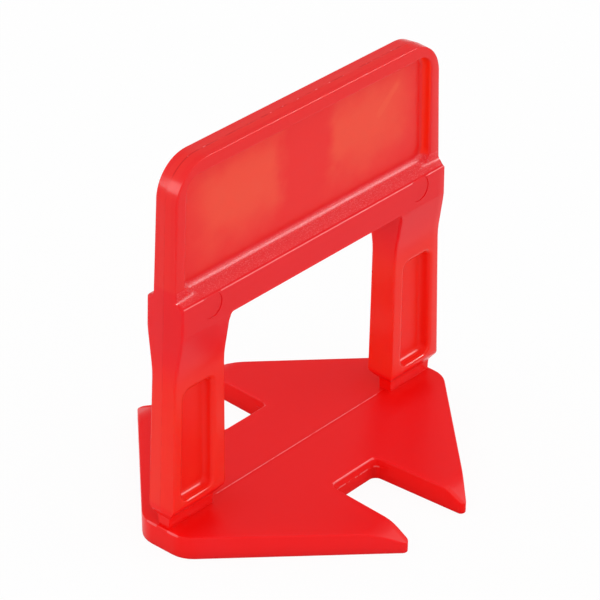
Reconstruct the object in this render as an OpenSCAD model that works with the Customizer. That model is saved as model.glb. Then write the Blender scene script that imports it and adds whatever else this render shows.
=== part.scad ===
// Tile levelling clip, moulded in one piece: a star-shaped base that lies under
// the tiles, two legs that stand in the joint on thin break-off necks, and a
// handle plate above the crossbar. A wedge is driven through the window.
// Origin at the middle of the underside; X along the frame, Y across it, Z up.

/* [Base plate] */
// Width across the two flat side edges
base_width = 40; // [36:0.5:46]
// Length of each flat side edge
side_flat = 5.2; // [3.6:0.1:8]
// Thickness along the outer edges
base_thickness = 2.4; // [1.8:0.1:3.5]
// Rise of the top face from its edges to the middle
base_rise = 0.15; // [0.05:0.05:0.4]
// Radius of the corners beside the flat side edges
side_radius = 3; // [1:0.25:4]
// Radius of the four tips
tip_radius = 0.5; // [0.4:0.1:1.2]
// Length of the ramp on each tip, measured from its sharp corner
ramp_length = 3.05; // [2.5:0.05:5]
// Thickness left at the sharp corner of a tip
tip_thickness = 0.85; // [0.6:0.05:1.6]
// Blend radius between the top face and a ramp
ramp_radius = 4; // [1:0.5:6]
// Width of the fine moulding bead along the middle of the top face
bead_width = 0.24; // [0.16:0.02:0.4]
// Height of the moulding bead
bead_height = 0.08; // [0.04:0.02:0.16]

/* [Base notches] */
// Width of a notch at its inner end
notch_width = 6.9; // [5:0.1:9]
// Distance of a notch's inner end from the middle of the base
notch_start = 7.2; // [5:0.1:10]
// Outward lean of the notch sides
notch_flare = 3.1; // [0:0.1:6]
// Radius of the inner corners of a notch
notch_radius = 0.8; // [0.4:0.1:1.6]
// Height of the fine mould seam round a notch's inner end
seam_height = 1.5; // [0.8:0.05:1.6]
// Width of the mould seam
seam_width = 0.14; // [0.1:0.02:0.3]
// How far the mould seam stands out of the notch's wall
seam_depth = 0.06; // [0.04:0.01:0.12]
// Length of the mould seam along the notch sides
seam_length = 1.6; // [1:0.1:3]

/* [Upright outline] */
// Overall height
clip_height = 41.7; // [38:0.1:50]
// Width of the upright at the level of the base's top edge
foot_width = 40.5; // [37:0.1:46]
// Width of the upright at its top
top_width = 37.9; // [34:0.1:44]
// Radius of the two top corners
corner_radius = 4.2; // [3.2:0.1:6]
// Mould draft of the outer sides and the top, either way from mid thickness
draft_angle = 4.5; // [1:0.5:6]
// Width of the window between the legs
window_width = 25.3; // [20:0.1:27]
// Height of the crossbar's underside above the base's underside
window_top = 24.45; // [22:0.05:25]
// Radius of the window's top corners
window_radius = 0.4; // [0.2:0.1:2]

/* [Upright thickness] */
// Thickness of the rim round the handle plate
plate_thickness = 2.7; // [2.3:0.1:3.2]
// Thickness of the web inside the rim
web_thickness = 0.8; // [0.6:0.05:1.2]
// Thickness of the crossbar
bar_thickness = 4.65; // [3.8:0.05:6]
// Thickness of the legs
leg_thickness = 3.1; // [2.6:0.1:3.6]
// Thickness of the break-off necks, which is the joint width
neck_thickness = 1.5; // [1:0.1:2]
// Height at which the legs start to swell towards the crossbar
swell_bottom = 19.7; // [18.5:0.1:21]
// Height at which the legs reach the crossbar's thickness
swell_top = 24.3; // [22.5:0.1:25.5]
// Blend radius at both ends of the swell
swell_radius = 9; // [2:0.5:16]
// Height of the crossbar's upper front edge
bar_top = 27.45; // [26:0.05:30]
// Slope of the ledge from the crossbar's edge up to the plate
ledge_angle = 25; // [10:1:40]
// Cove radius between the ledge and the rim
cove_radius = 0.45; // [0.2:0.05:0.7]

/* [Necks] */
// Height of a neck above the middle of the base
neck_height = 1.15; // [0.6:0.05:2]
// Height of the slope from a neck's faces out to the leg's faces
shoulder_height = 1.1; // [0.6:0.05:1.2]
// Radius where the slopes round over into the leg
shoulder_radius = 0.9; // [0.3:0.1:1]
// Radius where the slopes meet the neck
neck_radius = 0.3; // [0.1:0.05:0.5]
// Inset of a neck from the outer side of its leg
neck_outer_inset = 0.5; // [0.3:0.05:1]
// Inset of a neck from the inner side of its leg
neck_inner_inset = 0.9; // [0.5:0.05:1.4]
// Height of the slope from a neck's ends out to the leg's sides
end_slope_height = 1; // [0.5:0.05:1.2]

/* [Recesses] */
// Width of the rim round the handle plate
rim_width = 1.5; // [1:0.1:2]
// Radius of the corners inside the rim
rim_radius = 1.5; // [1:0.1:2.4]
// How far the wall inside the rim slopes in on its way down
rim_wall = 0.2; // [0.1:0.05:0.4]
// Width of the rim between a leg's pocket and its outer side
pocket_outer_rim = 1.3; // [1:0.05:1.6]
// Width of the rim between a leg's pocket and the window
pocket_inner_rim = 1.6; // [1:0.05:1.8]
// Lower end of the leg pockets
pocket_bottom = 5.35; // [5.3:0.05:8]
// Upper end of the leg pockets
pocket_top = 17.8; // [14:0.1:18.2]
// Corner radius of the leg pockets
pocket_radius = 0.9; // [0.85:0.05:1.2]
// How far the walls of the leg pockets slope in on their way down
pocket_wall = 0.25; // [0.1:0.05:0.3]
// Thickness left between a leg's two pockets
pocket_web = 0.9; // [0.6:0.1:1.4]
// Radius where the walls of the recesses meet their floors
floor_radius = 0.55; // [0.2:0.05:0.6]

/* [Ejector marks] */
// Diameter of the round marks on the crossbar's front
mark_diameter = 2.7; // [2:0.1:3]
// Distance between the two marks
mark_spacing = 30.5; // [29:0.1:31.5]
// Depth of the marks
mark_depth = 0.08; // [0.04:0.02:0.3]
// Height of the marks' centres below the crossbar's upper front edge
mark_drop = 1.1; // [1:0.05:1.6]

/* [Hidden] */
clip_red = [0.91, 0.19, 0.18];
// Facets of an arc for each right angle that it turns, and the fewest of any arc
arc_steps = 8;
floor_steps = 4;
fewest_steps = 2;
corner_facets = 64;
pocket_facets = 32;
// How far a cutting shape reaches past what it cuts
overcut = 0.3;
// Height and taper of the thin cones that a sheared recess is drawn over
slice = 0.05;

// The outer edges run at 45 degrees, so both coordinates add up to this sum
edge_sum = (base_width + side_flat) / 2;
flare = tan(notch_flare);
tip_x = (notch_width / 2 + (edge_sum - notch_start) * flare) / (1 + flare);
tip_y = edge_sum - tip_x;
ramp_start = tip_y - ramp_length;
base_top = base_thickness + base_rise;
bead_crest = bead_width / 4;

side_lean = (foot_width - top_width) / 2 / (clip_height - base_thickness);
lean_angle = atan(side_lean);
draft = tan(draft_angle);
ledge_slope = tan(ledge_angle);

neck_top = base_top + neck_height;
leg_bottom = neck_top + shoulder_height;
neck_foot = base_thickness / 2;
mark_height = bar_top - mark_drop;

// Half width of the upright at a height, on the mid plane
function half_width(z) = foot_width / 2 - (z - base_thickness) * side_lean;

// Height of the ledge's plane at a distance from the mid plane
function ledge_height(y) = bar_top + (bar_thickness / 2 - y) * ledge_slope;

function unit(v) = v / norm(v);

// Points of the arc that rounds corner b between its neighbours a and c
function corner_arc(a, b, c, r, right_angle_steps) =
    let (
        u = unit(a - b),
        v = unit(c - b),
        half = acos(u * v) / 2,
        middle = b + unit(u + v) * r / sin(half),
        from = b + u * r / tan(half) - middle,
        to = b + v * r / tan(half) - middle,
        start = atan2(from.y, from.x),
        sweep = (atan2(to.y, to.x) - start + 540) % 360 - 180,
        steps = max(fewest_steps, ceil(right_angle_steps * abs(sweep) / 90))
    )
    [for (i = [0 : steps])
        let (angle = start + sweep * i / steps)
        middle + r * [cos(angle), sin(angle)]];

// Outline from corners given as [x, y, radius], with a radius of 0 left sharp
function rounded(corners) =
    let (
        count = len(corners),
        points = [for (c = corners) [c.x, c.y]]
    )
    [for (i = [0 : count - 1])
        let (r = corners[i].z)
        each r == 0
            ? [points[i]]
            : corner_arc(points[(i + count - 1) % count], points[i], points[(i + 1) % count], r, arc_steps)];

// Half of an outline joined to its mirror image across the second axis
function both_halves(half) =
    concat(half, [for (i = [len(half) - 1 : -1 : 0]) [-half[i].x, half[i].y, half[i].z]]);

// Section of a recess wall as [inset, distance from the mid plane], from above its face
// down to its floor: a slope that leans in by wall_run, then a fillet
function recess_wall(face_y, floor_y, wall_run) =
    let (
        foot = [wall_run, floor_y],
        slope = wall_run / (face_y - floor_y),
        lip = [-overcut * slope, face_y + overcut],
        inward = [wall_run + face_y, floor_y]
    )
    concat([lip], corner_arc(lip, foot, inward, floor_radius, floor_steps));

// A Y-Z outline drawn out along X
module along_x(length) {
    rotate([90, 0, 90])
        linear_extrude(length, center = true)
            children();
}

// An X-Z outline drawn out along Y
module along_y(length) {
    rotate([90, 0, 0])
        linear_extrude(length, center = true)
            children();
}

// A round bar or cone along Y, from radius r0 at y0 to radius r1 at y1
module cone_along_y(x, z, y0, r0, y1, r1, facets) {
    translate([x, y0, z])
        rotate([-90, 0, 0])
            cylinder(h = y1 - y0, r1 = r0, r2 = r1, $fn = facets);
}

// Plan of the base: 45 degree edges, flat sides and a notch at each end
module base_plan() {
    upper = [
        [base_width / 2, side_flat / 2, side_radius],
        [tip_x, tip_y, tip_radius],
        [notch_width / 2, notch_start, notch_radius]
    ];
    lower = [for (i = [2 : -1 : 0]) [upper[i].x, -upper[i].y, upper[i].z]];
    right = concat(lower, upper);
    polygon(rounded(both_halves(right)));
}

// Side view of the base: a low roof with a ramp on each tip
module base_side() {
    polygon(rounded(concat(
        [[0, base_top, 0]],
        both_halves([
            [-ramp_start, base_thickness, ramp_radius],
            [-tip_y, tip_thickness, 0],
            [-tip_y, 0, 0]
        ])
    )));
}

// Fine bead along the crest of the base, from neck to neck
module base_bead() {
    along_x(window_width + 2 * neck_inner_inset + overcut)
        polygon([
            [-bead_width / 2, base_thickness],
            [bead_width / 2, base_thickness],
            [bead_width / 2, base_top],
            [bead_crest / 2, base_top + bead_height],
            [-bead_crest / 2, base_top + bead_height],
            [-bead_width / 2, base_top]
        ]);
}

// Fine seam left by the mould on the inner end of the back notch
module notch_seam() {
    half = notch_width / 2;
    end_y = notch_start + seam_length;
    outer_y = end_y + overcut;
    translate([0, 0, seam_height - seam_width / 2])
        linear_extrude(seam_width)
            difference() {
                translate([-half - overcut, notch_start - overcut])
                    square([notch_width + 2 * overcut, seam_length + overcut]);
                polygon(rounded(both_halves([
                    [half - seam_depth + (outer_y - notch_start) * flare, outer_y, 0],
                    [half - seam_depth, notch_start + seam_depth, notch_radius]
                ])));
            }
}

module base_plate() {
    intersection() {
        linear_extrude(base_top + overcut)
            base_plan();
        along_x(base_width + overcut)
            base_side();
    }
    base_bead();
    for (front = [0, 1])
        mirror([0, front, 0])
            notch_seam();
}

// The four rounded corners of the upright's outline, on one side of the mid plane
module outline_corners(z_low, y0, inset0, y1, inset1) {
    for (z = [z_low, clip_height - corner_radius], side = [-1, 1])
        cone_along_y(side * (half_width(z) - corner_radius / cos(lean_angle)), z,
            y0, corner_radius - inset0, y1, corner_radius - inset1, corner_facets);
}

// Outer form of the upright: leaning sides, round top corners, draft both ways
module upright_blank() {
    reach = bar_thickness / 2 + overcut;
    hull() {
        outline_corners(0, 0, 0, reach, reach * draft);
        mirror([0, 1, 0])
            outline_corners(0, 0, 0, reach, reach * draft);
    }
}

// Side view of the upright: neck, leg, swell, crossbar, ledge and plate
module upright_side() {
    polygon(rounded(both_halves([
        [neck_thickness / 2, neck_foot, 0],
        [neck_thickness / 2, neck_top, neck_radius],
        [leg_thickness / 2, leg_bottom, shoulder_radius],
        [leg_thickness / 2, swell_bottom, swell_radius],
        [bar_thickness / 2, swell_top, swell_radius],
        [bar_thickness / 2, bar_top, 0],
        [plate_thickness / 2, ledge_height(plate_thickness / 2), cove_radius],
        [plate_thickness / 2, clip_height + overcut, 0]
    ])));
}

// Opening between the legs, wider at the necks
module window_outline() {
    neck_side = window_width / 2 + neck_inner_inset;
    polygon(rounded(both_halves([
        [neck_side, 0, 0],
        [neck_side, neck_top, neck_radius],
        [window_width / 2, neck_top + end_slope_height, shoulder_radius],
        [window_width / 2, window_top, window_radius]
    ])));
}

// What is cut away outside the neck of the right leg
module neck_side_cut() {
    neck_side = half_width(neck_top) - neck_outer_inset;
    outside = foot_width / 2 + overcut;
    slope_rise = (outside - neck_side) * end_slope_height / neck_outer_inset;
    polygon(rounded([
        [neck_side, 0, 0],
        [outside, 0, 0],
        [outside, neck_top + slope_rise, 0],
        [neck_side, neck_top, neck_radius]
    ]));
}

// Recess of the handle plate on the back. Its lower corners sit on the sloping ledge,
// so each slice along the wall takes its lower end from the ledge's height there
module plate_recess() {
    rim_y = plate_thickness / 2;
    floor_y = web_thickness / 2;
    wall = recess_wall(rim_y, floor_y, rim_wall);
    wall_slope = rim_wall / (rim_y - floor_y);
    top_z = clip_height - rim_width - rim_radius;
    hull()
        for (edge = wall) {
            low_z = ledge_height(edge.y) - (rim_y - edge.y) * wall_slope + rim_radius;
            radius = rim_radius - edge.x;
            for (z = [low_z, top_z], side = [-1, 1])
                cone_along_y(side * (half_width(z) - rim_width - rim_radius), z,
                    edge.y, radius, edge.y + slice, radius - slice, corner_facets);
        }
}

// Pocket in the back of the right leg
module leg_pocket() {
    face_y = leg_thickness / 2;
    wall = recess_wall(face_y, pocket_web / 2, pocket_wall);
    inner_x = window_width / 2 + pocket_inner_rim + pocket_radius;
    outer_inset = face_y * draft + pocket_outer_rim + pocket_radius;
    hull()
        for (z = [pocket_bottom + pocket_radius, pocket_top - pocket_radius])
            for (x = [inner_x, half_width(z) - outer_inset])
                for (i = [0 : len(wall) - 2])
                    cone_along_y(x, z, wall[i + 1].y, pocket_radius - wall[i + 1].x,
                        wall[i].y, pocket_radius - wall[i].x, pocket_facets);
}

// Round mark of an ejector pin on the front of the crossbar
module ejector_mark() {
    translate([mark_spacing / 2, -bar_thickness / 2 - overcut, mark_height])
        rotate([-90, 0, 0])
            cylinder(h = mark_depth + overcut, d = mark_diameter, $fn = corner_facets);
}

module upright() {
    difference() {
        intersection() {
            upright_blank();
            along_x(foot_width + overcut)
                upright_side();
        }
        along_y(bar_thickness + overcut)
            window_outline();
        for (back = [0, 1])
            mirror([0, back, 0])
                plate_recess();
        for (left = [0, 1])
            mirror([left, 0, 0]) {
                along_y(bar_thickness + overcut)
                    neck_side_cut();
                for (back = [0, 1])
                    mirror([0, back, 0])
                        leg_pocket();
                ejector_mark();
            }
    }
}

module levelling_clip() {
    color(clip_red)
        union() {
            base_plate();
            upright();
        }
}

levelling_clip();
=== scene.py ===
import bpy
import bmesh
from math import cos, radians, sin
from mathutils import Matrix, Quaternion, Vector


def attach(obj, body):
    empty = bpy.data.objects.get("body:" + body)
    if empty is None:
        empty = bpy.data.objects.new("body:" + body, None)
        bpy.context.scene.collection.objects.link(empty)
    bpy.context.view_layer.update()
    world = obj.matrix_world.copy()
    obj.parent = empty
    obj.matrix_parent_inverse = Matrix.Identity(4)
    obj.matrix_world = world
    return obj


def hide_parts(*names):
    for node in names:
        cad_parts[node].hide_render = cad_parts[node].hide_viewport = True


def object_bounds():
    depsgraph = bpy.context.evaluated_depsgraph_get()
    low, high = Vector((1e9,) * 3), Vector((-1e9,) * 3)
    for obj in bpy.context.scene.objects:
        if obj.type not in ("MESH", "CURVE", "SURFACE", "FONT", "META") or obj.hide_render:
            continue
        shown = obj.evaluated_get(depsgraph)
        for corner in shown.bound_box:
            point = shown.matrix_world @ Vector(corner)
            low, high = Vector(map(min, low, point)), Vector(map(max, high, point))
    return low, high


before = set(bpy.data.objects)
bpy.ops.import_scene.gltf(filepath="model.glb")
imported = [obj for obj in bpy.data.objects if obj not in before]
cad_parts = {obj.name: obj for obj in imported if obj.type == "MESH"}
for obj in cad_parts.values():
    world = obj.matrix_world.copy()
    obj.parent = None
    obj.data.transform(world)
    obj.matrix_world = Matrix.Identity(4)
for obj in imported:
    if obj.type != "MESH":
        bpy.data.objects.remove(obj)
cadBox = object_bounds()
scene = bpy.context.scene
scene.view_settings.view_transform = "Standard"
mm = 0.001


class Wire:  # a node socket that Python's operators work on
    def __init__(self, tree, socket=None):
        self.tree, self.socket = tree, socket

    def node(self, kind, settings=None, inputs=None, out=0):  # any node: settings first, then sockets
        made = self.tree.nodes.new(kind)
        for name, value in (settings or {}).items():
            setattr(made, name, value)
        for name, value in (inputs or {}).items():
            if isinstance(value, Wire):
                self.tree.links.new(value.socket, made.inputs[name])
            else:
                made.inputs[name].default_value = value
        return Wire(self.tree, made.outputs[out]) if len(made.outputs) else made

    def calc(self, operation, first, second):
        return self.node("ShaderNodeMath", {"operation": operation}, {0: first, 1: second})

    def __add__(self, other): return self.calc("ADD", self, other)
    def __radd__(self, other): return self.calc("ADD", other, self)
    def __sub__(self, other): return self.calc("SUBTRACT", self, other)
    def __rsub__(self, other): return self.calc("SUBTRACT", other, self)
    def __mul__(self, other): return self.calc("MULTIPLY", self, other)
    def __rmul__(self, other): return self.calc("MULTIPLY", other, self)


def newMaterial(name):
    material = bpy.data.materials.new(name)
    material.use_nodes = True
    material.node_tree.nodes.clear()
    return material, Wire(material.node_tree)


# Red moulded plastic

plastic = {
    "baseRed": (0.85, 0.009, 0.011, 1.0),
    "shadedUpperRed": (0.78, 0.011, 0.016, 1.0),  # painted shade: crossbar and plate darker red, as less light from below reaches them
    "webGlowRed": (0.85, 0.084, 0.041, 1.0),  # painted light: the thin web glowing where light comes through from behind
    # painted light: the legs glow orange where light comes through them
    "legGlowRed": (0.90, 0.050, 0.010, 1.0),
    "litWallRed": (0.95, 0.024, 0.006, 1.0),  # painted light: walls of the plate's recess, lit brighter than their shade
    "shadeRed": (0.86, 0.003, 0.002, 1.0),  # painted shade: pocket floors, notch walls and around the necks, without their white reflection
    "highlightRed": (0.90, 0.17, 0.18, 1.0),  # painted highlights: points of light on texture, seams and edges
    "lineRed": (0.55, 0.005, 0.006, 1.0),  # down in the parting line
    "roughness": 0.18,
    "ledgeRoughness": 0.3,
    "baseRoughness": 0.3,  # and the pockets
    "notchRoughness": 0.35,  # on top of the base's
    "roughnessDrift": 0.07,
    "specular": 0.14,
    "glow": 0.5,
    "glowReach": 2.5 * mm,
    "glowColour": (1.0, 0.08, 0.06),
    "lean": 0.033,  # of the narrow sides, for each mm of height
    "stray": 2.0,  # how far the painted glow clouds' edges wander, in mm
    # a painted streak of glow on the web: middle in x and z, direction, and where its ends and sides fade
    "glowStreak": {"middle": (12.2, 36.9), "turn": (0.76, 0.65), "ends": (1.6, 2.4), "sides": (0.1, 0.6)},
    # size of the blotches in mm, and how fine they get
    "blotches": {"glowClouds": (3.5, 3.0), "legs": (3.0, 2.0), "roughness": (4.0, 4.0), "fine": (0.7, 2.0),
                 "waves": (5.0, 1.0), "grain": (0.13, 2.0)},  # the grain is the ledge's, from spark erosion
    "grainShows": (0.45, 0.75),  # levels of the grain between which its painted glints come in
    # what breaks a line up: size of a blotch in mm, and the levels between which the line comes in
    "breaks": {"bead": (1.5, 0.25, 0.5), "notchSeam": (0.6, 0.4, 0.55), "line": (2.0, 0.4, 0.6),
               "glintSpecks": (0.9, 0.6, 0.68)},
    # how much of its own colour a zone takes
    "shares": {"plate": 0.1, "web": 0.05, "glowClouds": 0.7, "glowStreak": 0.3, "pockets": 0.28, "sideLine": 0.3,
               "line": 0.7, "legs": 0.15, "legGlowBlotches": 0.3, "ledge": 0.06, "cove": 0.3, "grain": 0.45},
    # how much painted highlight each fine line takes
    "highlightShares": {"bead": 0.8, "litEdge": 0.2, "ledgeEdge": 1.0, "notchEdge": 0.8, "notchSeam": 0.7,
                   "baseRim": 0.6},
    "bumps": {"fine": 0.004, "waves": 0.02, "grain": 0.04, "line": 0.015},  # height in mm
}

# Where the finishes and the painted light and shade lie, in mm: for each measure, the stretch in which one
# comes in and the one in which it goes out again. aside is |x|, depth is |y|, corner is aside + z, and right
# is x without the sides' lean.
zones = {
    "bar": {"z": ((18.0, 24.0), None)},
    "plate": {"z": ((28.6, 29.2), None)},
    "web": {"depth": (None, (0.6, 0.8))},
    # painted glow on the web, in clouds either side of the middle
    "glowClouds": {"aside": ((2.5, 5.0), (11.5, 18.0)), "z": ((28.5, 34.5), (36.5, 42.0))},
    # painted light on the walls of the plate's recess
    "recessWalls": {"depth": ((0.42, 0.6), (1.25, 1.33)), "aside": (None, (17.7, 17.9)),
                    "z": (None, (40.7, 40.9)), "corner": (None, (56.6, 57.0))},
    "legs": {"z": ((4.2, 5.5), (17.0, 22.0))},
    "pockets": {"depth": (None, (1.2, 1.5)), "aside": ((14.0, 14.6), (18.3, 18.8))},
    # painted shade around the necks and under the legs
    "feet": {"z": (None, (4.2, 5.4)), "aside": ((9.0, 13.5), None), "depth": (None, (1.5, 5.0))},
    "base": {"z": (None, (2.68, 2.72))},
    "notches": {"z": (None, (2.1, 2.35)), "aside": (None, (4.4, 4.8)), "depth": ((6.8, 7.0), None)},
    "ledge": {"z": ((27.52, 27.62), (28.75, 28.95)), "depth": ((0.38, 0.5), None),
              "aside": (None, (18.9, 19.15))},
    "cove": {"depth": (None, (0.6, 0.85))},
    # parting line of the mould
    "midPlane": {"depth": (None, (0.03, 0.1)), "z": ((3.6, 4.2), None)},
    "narrowSides": {"aside": ((16.0, 16.5), None)},
    "plateTop": {"z": ((38.5, 41.0), None)},
    "topFace": {"z": ((40.0, 41.0), None)},
    # painted highlights: fine bright lines
    "bead": {"depth": (None, (0.05, 0.09)), "z": ((2.5, 2.56), (2.7, 2.75)),
             "aside": (None, (12.0, 12.4))},
    "litEdge": {"right": ((18.8, 20.4), None), "z": ((4.2, 5.5), None)},
    "ledgeEdge": {"z": ((27.38, 27.41), (27.47, 27.50)), "depth": ((2.2, 2.22), None),
                  "aside": (None, (19.0, 19.1))},
    "marks": {"aside": ((13.95, 14.15), (16.35, 16.55))},  # gaps in the ledge's edge
    "notchEdge": {"depth": ((7.1, 7.13), None), "z": ((2.28, 2.32), (2.5, 2.6)),
                  "aside": (None, (3.0, 3.2))},
    "notchSeam": {"z": ((1.41, 1.45), (1.55, 1.59)), "depth": ((6.9, 7.1), (7.7, 7.9)),
                  "aside": (None, (3.7, 3.9))},
    "baseRim": {"aside": ((19.85, 19.92), None), "z": ((2.28, 2.32), (2.5, 2.6)),
                "depth": ((0.6, 0.8), (1.9, 2.2))},
}


def clipPlastic():
    material, wire = newMaterial("redPlastic")
    place = wire.node("ShaderNodeTexCoord", out="Object")
    x, y, z = (wire.node("ShaderNodeSeparateXYZ", inputs={"Vector": place}, out=axis) * (1 / mm)
               for axis in range(3))

    def away(value):  # distance from zero
        return wire.calc("ABSOLUTE", value, 0)

    def larger(first, second):
        return wire.calc("MAXIMUM", first, second)

    def noise(size, detail=2.0):  # size of a blotch in mm
        return wire.node("ShaderNodeTexNoise", inputs={
            "Vector": place, "Scale": 1 / (size * mm), "Detail": detail})

    def blotches(name):
        return noise(*plastic["blotches"][name])

    def rise(value, low, high):  # 0 below low, 1 above high
        return wire.node("ShaderNodeMapRange", {"interpolation_type": "SMOOTHSTEP"},
                         {"Value": value, "From Min": low, "From Max": high})

    def fall(value, low, high):  # 1 below low, 0 above high
        return 1.0 - rise(value, low, high)

    aside, depth = away(x), away(y)
    measures = {"z": z, "aside": aside, "depth": depth, "corner": aside + z, "right": x + plastic["lean"] * z}

    def zone(name, stray=None):  # stray moves the edges outwards
        share = 1.0
        for measure, (comesIn, goesOut) in zones[name].items():
            rising = falling = measures[measure]
            if stray:
                rising, falling = rising + stray, falling - stray
            if comesIn:
                share = rise(rising, *comesIn) * share
            if goesOut:
                share = fall(falling, *goesOut) * share
        return share

    def broken(name):
        size, low, high = plastic["breaks"][name]
        return rise(noise(size), low, high)

    def blend(share, first, second):
        return wire.node("ShaderNodeMix", {"data_type": "RGBA"}, {0: share, 6: first, 7: second}, out=2)

    shares = plastic["shares"]
    plate, legs, ledge, notches = zone("plate"), zone("legs"), zone("ledge"), zone("notches")
    pockets = legs * zone("pockets")
    glowClouds = zone("glowClouds", 2 * plastic["stray"] * (blotches("glowClouds") - 0.5))
    glowStreak = plastic["glowStreak"]
    (midX, midZ), (turnX, turnZ) = glowStreak["middle"], glowStreak["turn"]
    along = (x - midX) * turnX + (z - midZ) * turnZ
    across = (z - midZ) * turnX - (x - midX) * turnZ
    glowStreakShare = fall(away(across), *glowStreak["sides"]) * fall(away(along), *glowStreak["ends"])
    # painted light: the plate and its web glowing where light comes through, more in clouds and a streak
    thin = shares["plate"] * plate + plate * zone("web") * (
        shares["web"] + shares["glowClouds"] * glowClouds + shares["glowStreak"] * glowStreakShare)
    # painted shade where little white light gets in
    paintedShade = larger(shares["pockets"] * pockets, larger(zone("feet"), notches))
    grain = blotches("grain")
    line = zone("midPlane") * larger(shares["sideLine"] * zone("narrowSides"), zone("plateTop"))

    # painted highlights: glints on the ledge's grain, a sheen on the ledge and its cove, and fine bright
    # lines
    glints = shares["grain"] * rise(grain, *plastic["grainShows"])
    paintedHighlights = ledge * (shares["ledge"] + shares["cove"] * zone("cove") + glints)
    gaps = {"bead": broken("bead"), "notchSeam": broken("notchSeam"), "ledgeEdge": 1.0 - zone("marks")}
    for name, share in plastic["highlightShares"].items():
        paintedHighlights = paintedHighlights + share * zone(name) * gaps.get(name, 1.0)

    # painted shade: darker red from the legs upward
    colour = blend(zone("bar"), plastic["baseRed"], plastic["shadedUpperRed"])
    colour = blend(thin, colour, plastic["webGlowRed"])
    # painted light glowing through the legs, in blotches
    legGlowShare = shares["legs"] + shares["legGlowBlotches"] * blotches("legs")
    colour = blend(legs * legGlowShare, colour, plastic["legGlowRed"])
    # painted light on the recess walls
    colour = blend(plate * zone("recessWalls"), colour, plastic["litWallRed"])
    colour = blend(paintedShade, colour, plastic["shadeRed"])
    colour = blend(paintedHighlights, colour, plastic["highlightRed"])
    colour = blend(shares["line"] * line * broken("line"), colour, plastic["lineRed"])
    # painted glints: bright flash specks along the parting line on the top face
    colour = blend(line * broken("glintSpecks") * zone("topFace"), colour, plastic["highlightRed"])

    plain = plastic["roughness"]
    roughness = (plain + plastic["roughnessDrift"] * blotches("roughness")
                 + ledge * (plastic["ledgeRoughness"] - plain)
                 + larger(zone("base"), pockets) * (plastic["baseRoughness"] - plain)
                 + notches * plastic["notchRoughness"])
    bumps = plastic["bumps"]
    height = (bumps["fine"] * blotches("fine") + bumps["waves"] * blotches("waves")
              + bumps["grain"] * ledge * (grain - 0.5) - bumps["line"] * line)
    bump = wire.node("ShaderNodeBump", inputs={"Height": height, "Distance": mm, "Strength": 1.0})
    shader = wire.node("ShaderNodeBsdfPrincipled", inputs={
        "Base Color": colour, "Roughness": roughness, "Normal": bump,
        "Specular IOR Level": plastic["specular"], "Subsurface Weight": plastic["glow"],
        "Subsurface Scale": plastic["glowReach"], "Subsurface Radius": plastic["glowColour"]})
    wire.node("ShaderNodeOutputMaterial", inputs={"Surface": shader})
    return material


# The clip, a copy of the CAD solid with its edges rounded

clip = {
    "mergeDistance": 0.003 * mm,
    "flatAngle": radians(0.5),
    "edgeAngle": radians(25),
    "edgeSegments": 3,
    "smoothAngle": radians(32),
    "flatWeight": 80,  # how strongly large faces keep their own normals
    # facet lines of the swell above the window, which go
    "facets": {"height": (24.46, 25.1), "depth": 2.28, "angle": radians(3)},
    # the ejector marks' flat faces: |x|, -y and z
    "marks": ((13.8, 16.7), (2.24, 2.32), (24.9, 27.6)),
    "outerRadius": 0.22 * mm,
    # the first box that holds an edge's middle sets its radius: low and high corner in mm, for |x|, |y| and z
    "edgeBoxes": (
        {"name": "notch seams", "low": (0, 7, 1.3), "high": (3.9, 9.4, 1.7), "radius": 0.0},
        {"name": "base bead", "low": (0, 0, 2.45), "high": (13.8, 0.2, 2.7), "radius": 0.0},
        {"name": "ejector marks", "low": (13.8, 2.1, 25), "high": (16.7, 2.4, 27.6), "radius": 0.0},
        {"name": "shoulders", "low": (12, 0, 3.55), "high": (20.4, 1.6, 5.1), "radius": 0.0},
        {"name": "rim foot", "low": (16, 0.3, 27.5), "high": (18.6, 1.7, 28.9), "radius": 0.0},
        {"name": "window corners", "low": (12.2, 0, 23.9), "high": (12.7, 2.5, 24.6), "radius": 0.0},
        {"name": "base and neck feet", "low": (0, 0, 0), "high": (21, 19, 2.7), "radius": 0.1 * mm},
        {"name": "necks", "low": (0, 0, 2.4), "high": (21, 0.8, 3.7), "radius": 0.1 * mm},
        {"name": "coves", "low": (18.8, 1.3, 27.7), "high": (19.5, 1.62, 28.4), "radius": 0.0},
        {"name": "ledge ends", "low": (18.9, 1.62, 27.3), "high": (19.5, 2.3, 28.2), "radius": 0.35 * mm},
        {"name": "ledge edge", "low": (0, 2.2, 27.3), "high": (21, 2.5, 28), "radius": 0.12 * mm},
        # two radii here: at the first height and below, and at the second and above
        {"name": "plate top", "low": (0, 1, 37), "high": (19, 1.5, 42),
         "radius": (0.22 * mm, 0.05 * mm), "heights": (37.5, 41.0)},
        {"name": "pocket lips", "low": (13.5, 1.4, 5.1), "high": (19.2, 1.6, 18.4),
         "radius": (0.14 * mm, 0.4 * mm), "heights": (5.2, 6.6)},
    ),
}


def edgeRadius(edge):
    middle = (edge.verts[0].co + edge.verts[1].co) / 2 / mm
    spot = (abs(middle.x), abs(middle.y), middle.z)
    for box in clip["edgeBoxes"]:
        if all(low <= here <= high for low, here, high in zip(box["low"], spot, box["high"])):
            if "heights" not in box:
                return box["radius"]
            (first, second), (bottom, top) = box["radius"], box["heights"]
            share = min(1, max(0, (spot[2] - bottom) / (top - bottom)))
            return first + share * (second - first)
    return clip["outerRadius"]


def onMark(face):
    spot = face.center / mm
    return all(low < here < high for (low, high), here in zip(clip["marks"], (abs(spot.x), -spot.y, spot.z)))


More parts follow.
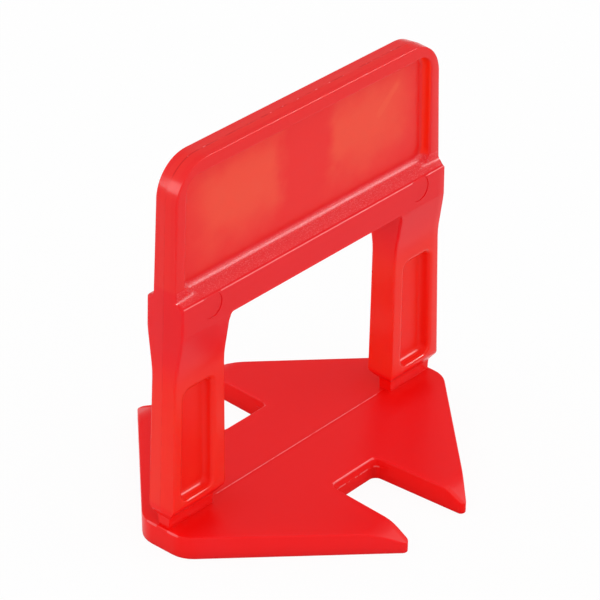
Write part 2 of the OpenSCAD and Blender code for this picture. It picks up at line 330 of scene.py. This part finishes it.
def roundedClip(node):
    bm = bmesh.new()
    bm.from_mesh(node.data)
    bmesh.ops.remove_doubles(bm, verts=bm.verts[:], dist=clip["mergeDistance"])
    bmesh.ops.dissolve_limit(bm, angle_limit=clip["flatAngle"], verts=bm.verts[:], edges=bm.edges[:])
    facets = clip["facets"]
    low, high = facets["height"]
    lines = [e for e in bm.edges if e.calc_face_angle(1) < facets["angle"]
             and all(low < v.co.z / mm < high and abs(v.co.y) / mm > facets["depth"] for v in e.verts)]
    bmesh.ops.dissolve_edges(bm, edges=lines, use_verts=True)
    weight = bm.edges.layers.float.new("bevel_weight_edge")
    for edge in bm.edges:
        if edge.calc_face_angle_signed(0) > clip["edgeAngle"]:
            edge[weight] = edgeRadius(edge) / clip["outerRadius"]
    mesh = bpy.data.meshes.new("levellingClip")
    bm.to_mesh(mesh)
    print("clip mesh:", len(bm.faces), "faces,", sum(not e.is_manifold for e in bm.edges), "open edges")
    bm.free()
    mesh.set_sharp_from_angle(angle=clip["smoothAngle"])
    for face in mesh.polygons:
        face.use_smooth = not onMark(face)
    piece = bpy.data.objects.new("levellingClip", mesh)
    scene.collection.objects.link(piece)
    rounding = piece.modifiers.new("edge rounding", "BEVEL")
    rounding.limit_method, rounding.width = "WEIGHT", clip["outerRadius"]
    rounding.segments = clip["edgeSegments"]
    rounding.use_clamp_overlap = rounding.loop_slide = False
    flat = piece.modifiers.new("flat faces stay flat", "WEIGHTED_NORMAL")
    flat.keep_sharp, flat.weight = True, clip["flatWeight"]
    return piece


piece = roundedClip(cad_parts["levelling_clip"])
piece.data.materials.append(clipPlastic())
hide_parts("levelling_clip")
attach(piece, "root")
print("clip done")


# Floor and studio

studio = {
    "floorSize": 4.0,
    "floorGap": 0.02 * mm,  # below the clip, so that the two faces don't flicker
    "floorShade": (0.9, 0.9, 0.9, 1.0),
    "floorWhite": 0.94,
    "worldLight": 1.1,
    "worldShade": 0.5,  # towards the back right, where the tent is open
    "openSide": (0.72, 0.62, 0.3),
    "opening": (0.3, 0.98),  # cosines of its outer and inner edge
    "boxDistance": 0.4,
    "softboxes": (  # they only make highlights, the world's even light does the rest
        {"name": "frontSoftbox", "towards": (0.654, -0.475, 0.588), "size": 0.085, "power": 2.5},
        {"name": "sideSoftbox", "towards": (-0.77, 0.53, 0.36), "size": 0.16, "power": 0.85},
    ),
}


def seenDirectly(wire):
    path = [wire.node("ShaderNodeLightPath", out=name)
            for name in ("Is Camera Ray", "Is Glossy Ray", "Is Transmission Ray")]
    return wire.calc("MINIMUM", path[0] + path[1] + path[2], 1.0)


def studioFloor():
    material, wire = newMaterial("studioFloor")
    matt = wire.node("ShaderNodeBsdfDiffuse", inputs={"Color": studio["floorShade"]})
    white = wire.node("ShaderNodeEmission")
    share = seenDirectly(wire) * studio["floorWhite"]
    shown = wire.node("ShaderNodeMixShader", inputs={0: share, 1: matt, 2: white})
    wire.node("ShaderNodeOutputMaterial", inputs={"Surface": shown})
    bm = bmesh.new()
    bmesh.ops.create_grid(bm, x_segments=1, y_segments=1, size=studio["floorSize"] / 2)
    mesh = bpy.data.meshes.new("studioFloor")
    bm.to_mesh(mesh)
    bm.free()
    mesh.materials.append(material)
    floor = bpy.data.objects.new("studioFloor", mesh)
    floor.location.z = cadBox[0].z - studio["floorGap"]
    scene.collection.objects.link(floor)


def studioWorld():
    scene.world = bpy.data.worlds.new("studioWorld")
    scene.world.use_nodes = True
    scene.world.node_tree.nodes.clear()
    wire = Wire(scene.world.node_tree)
    towards = wire.node("ShaderNodeTexCoord", out="Generated")
    facing = wire.node("ShaderNodeVectorMath", {"operation": "DOT_PRODUCT"},
                       {0: towards, 1: studio["openSide"]}, out="Value")
    outer, inner = studio["opening"]
    level = wire.node("ShaderNodeMapRange", {"interpolation_type": "SMOOTHSTEP"}, {
        "Value": facing, "From Min": outer, "From Max": inner,
        "To Min": studio["worldLight"], "To Max": studio["worldShade"]})
    light = wire.node("ShaderNodeBackground", inputs={"Strength": level, "Color": (1, 1, 1, 1)})
    wire.node("ShaderNodeOutputWorld", inputs={"Surface": light})


def softbox(box, target):
    lamp = bpy.data.lights.new(box["name"], "AREA")
    lamp.shape, lamp.size, lamp.energy = "SQUARE", box["size"], box["power"]
    light = bpy.data.objects.new(box["name"], lamp)
    towards = Vector(box["towards"]).normalized()
    light.location = target + towards * studio["boxDistance"]
    light.rotation_mode = "QUATERNION"
    light.rotation_quaternion = towards.to_track_quat("Z", "Y")
    light.visible_diffuse = False
    scene.collection.objects.link(light)


middle = (cadBox[0] + cadBox[1]) / 2
studioFloor()
studioWorld()
for box in studio["softboxes"]:
    softbox(box, middle)
print("studio done")


# Camera, fitted to the photograph's 600 by 600 frame

view = {
    "azimuth": radians(-49.31),
    "elevation": radians(30.379),
    "roll": radians(0.87),
    "distance": 304.24 * mm,
    "aim": Vector((0, 0, 22 * mm)),
    "lens": 187.5,
    "shift": (-0.0015, -0.0399),
    "clipShare": 100,  # clipped this many times nearer and farther than the distance
}


def photoCamera():
    lens = bpy.data.cameras.new("photoCamera")
    lens.lens = view["lens"]
    lens.shift_x, lens.shift_y = view["shift"]
    camera = bpy.data.objects.new("photoCamera", lens)
    flat = cos(view["elevation"])
    back = Vector((sin(view["azimuth"]) * flat, -cos(view["azimuth"]) * flat, sin(view["elevation"])))
    camera.location = view["aim"] + back * view["distance"]
    camera.rotation_mode = "QUATERNION"
    camera.rotation_quaternion = back.to_track_quat("Z", "Y") @ Quaternion((0, 0, 1), view["roll"])
    lens.clip_start = view["distance"] / view["clipShare"]
    lens.clip_end = view["distance"] * view["clipShare"]
    scene.collection.objects.link(camera)
    scene.camera = camera


photoCamera()
print("camera done")
